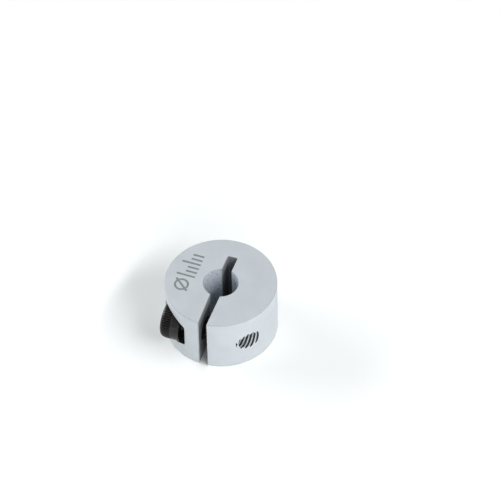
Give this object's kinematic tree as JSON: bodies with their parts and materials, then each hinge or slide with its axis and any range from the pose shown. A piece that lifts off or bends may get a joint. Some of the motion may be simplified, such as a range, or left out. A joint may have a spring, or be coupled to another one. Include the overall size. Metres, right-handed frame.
{
  "type": "shaft collar",
  "caption": "One-piece clamp shaft collar: split ring with a round bore, a relief slot and a clamp screw across the slit.",
  "frame": {"origin": "on the bore axis at the collar's lower face", "axes": "+Z along the bore, +X along the clamp screw towards the tapped side, -Y out of the slit"},
  "size_m": [0.016, 0.016, 0.009],
  "materials": {
    "anodised_aluminium": "bead blasted and clear anodised, satin matte",
    "black_oxide_steel": "black oxide with a thin oil film"
  },
  "bodies": {
    "collar": {"collar_body": "anodised_aluminium"},
    "jaw": {"clamp_jaw": "anodised_aluminium"},
    "screw_slide": {"clamp_screw_point": "black_oxide_steel"},
    "screw": {"clamp_screw": "black_oxide_steel"}
  },
  "joints": [
    {"name": "jaw_flex", "type": "hinge", "parent": "collar", "child": "jaw", "pos_m": [0, 0.005, 0.0045], "axis": [0, 0, 1], "range_deg": [0, 1], "stiffness_Nm_per_rad": 0.02},
    {"name": "screw_travel", "type": "slide", "parent": "collar", "child": "screw_slide", "axis": [1, 0, 0], "range_m": [-0.003, 0.00088]},
    {"name": "screw_turn", "type": "hinge", "parent": "screw_slide", "child": "screw", "pos_m": [-0.00375, -0.0051, 0.0045], "axis": [1, 0, 0], "range_deg": [-2160, 630]}
  ],
  "couplings": [
    {"joint": "screw_turn", "follows": "screw_travel", "rad_per_m": 12566}
  ]
}
